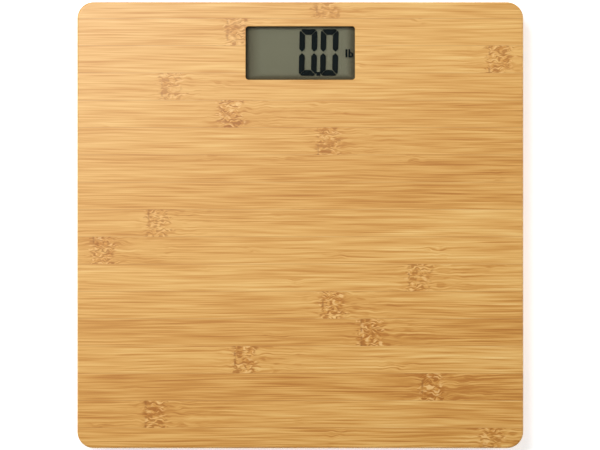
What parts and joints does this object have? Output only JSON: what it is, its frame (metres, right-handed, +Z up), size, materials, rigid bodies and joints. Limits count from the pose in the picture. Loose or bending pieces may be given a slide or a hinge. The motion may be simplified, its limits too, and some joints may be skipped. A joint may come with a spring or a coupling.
{
  "type": "digital bathroom scale",
  "caption": "Square bathroom scale: a laminated bamboo platform on load cell feet, with a sunken LCD near one edge and a battery bay underneath.",
  "frame": {"origin": "on the floor, under the middle of the platform", "axes": "+Z up, +Y toward the edge with the display, +X to the right of a person who stands facing the display"},
  "size_m": [0.3, 0.3, 0.023],
  "materials": {
    "bamboo": "satin clear lacquer",
    "clear_window": "gloss",
    "black_foam": "matte",
    "polarizer_film": "gloss",
    "lcd_glass": "gloss",
    "reflector_film": "satin",
    "black_plastic": "matte",
    "connector_rubber": "matte",
    "circuit_board_laminate": "satin",
    "zinc_steel": "satin",
    "black_epoxy": "gloss",
    "capacitor_sleeve": "satin",
    "light_grey_plastic": "satin",
    "charcoal_plastic": "fine texture",
    "nickel_steel": "bright",
    "red_insulation": "satin",
    "white_insulation": "satin",
    "black_insulation": "satin",
    "spring_steel": "bead blasted",
    "white_silicone": "satin",
    "black_rubber": "matte"
  },
  "bodies": {
    "platform": {"platform_board": "bamboo", "display_window": "clear_window", "display_gasket": "black_foam", "lcd_front_polarizer": "polarizer_film", "lcd_front_glass": "lcd_glass", "lcd_rear_glass": "lcd_glass", "lcd_reflector": "reflector_film", "lcd_holder": "black_plastic", "zebra_strip": "connector_rubber", "circuit_board": "circuit_board_laminate", "circuit_board_screws": "zinc_steel", "controller_blob": "black_epoxy", "crystal": "zinc_steel", "capacitors": "capacitor_sleeve", "unit_switch_body": "zinc_steel", "module_housing": "charcoal_plastic", "coin_cell": "nickel_steel", "battery_positive_contact": "nickel_steel", "battery_negative_contact": "nickel_steel", "module_screws": "zinc_steel", "foot_screws": "zinc_steel", "leads_red": "red_insulation", "leads_white": "white_insulation", "leads_black": "black_insulation", "foot_housing_toe_left": "charcoal_plastic", "load_cell_toe_left": "spring_steel", "strain_gauge_toe_left": "white_silicone", "groove_cover_toe_left": "charcoal_plastic", "foot_housing_toe_right": "charcoal_plastic", "load_cell_toe_right": "spring_steel", "strain_gauge_toe_right": "white_silicone", "groove_cover_toe_right": "charcoal_plastic", "foot_housing_heel_left": "charcoal_plastic", "load_cell_heel_left": "spring_steel", "strain_gauge_heel_left": "white_silicone", "groove_cover_heel_left": "charcoal_plastic", "foot_housing_heel_right": "charcoal_plastic", "load_cell_heel_right": "spring_steel", "strain_gauge_heel_right": "white_silicone", "groove_cover_heel_right": "charcoal_plastic"},
    "battery_door": {"battery_door": "charcoal_plastic"},
    "unit_button": {"unit_button": "light_grey_plastic", "unit_switch_plunger": "black_plastic"},
    "foot_toe_left": {"foot_cap_toe_left": "charcoal_plastic", "foot_pad_toe_left": "black_rubber"},
    "foot_toe_right": {"foot_cap_toe_right": "charcoal_plastic", "foot_pad_toe_right": "black_rubber"},
    "foot_heel_left": {"foot_cap_heel_left": "charcoal_plastic", "foot_pad_heel_left": "black_rubber"},
    "foot_heel_right": {"foot_cap_heel_right": "charcoal_plastic", "foot_pad_heel_right": "black_rubber"}
  },
  "joints": [
    {"name": "battery_door_hinge", "type": "hinge", "parent": "platform", "child": "battery_door", "pos_m": [-0.028, 0.09745, 0.00675], "axis": [-1, 0, 0], "range_deg": [0, 80]},
    {"name": "unit_button_press", "type": "slide", "parent": "platform", "child": "unit_button", "axis": [0, 0, 1], "range_m": [0, 0.0004], "stiffness_N_per_m": 150, "springref_m": -0.001},
    {"name": "foot_toe_left_press", "type": "slide", "parent": "platform", "child": "foot_toe_left", "axis": [0, 0, 1], "range_m": [0, 0.0005], "stiffness_N_per_m": 4000, "springref_m": -0.0015, "deforming": ["load_cell_toe_left"]},
    {"name": "foot_toe_right_press", "type": "slide", "parent": "platform", "child": "foot_toe_right", "axis": [0, 0, 1], "range_m": [0, 0.0005], "stiffness_N_per_m": 4000, "springref_m": -0.0015, "deforming": ["load_cell_toe_right"]},
    {"name": "foot_heel_left_press", "type": "slide", "parent": "platform", "child": "foot_heel_left", "axis": [0, 0, 1], "range_m": [0, 0.0005], "stiffness_N_per_m": 4000, "springref_m": -0.0015, "deforming": ["load_cell_heel_left"]},
    {"name": "foot_heel_right_press", "type": "slide", "parent": "platform", "child": "foot_heel_right", "axis": [0, 0, 1], "range_m": [0, 0.0005], "stiffness_N_per_m": 4000, "springref_m": -0.0015, "deforming": ["load_cell_heel_right"]}
  ]
}
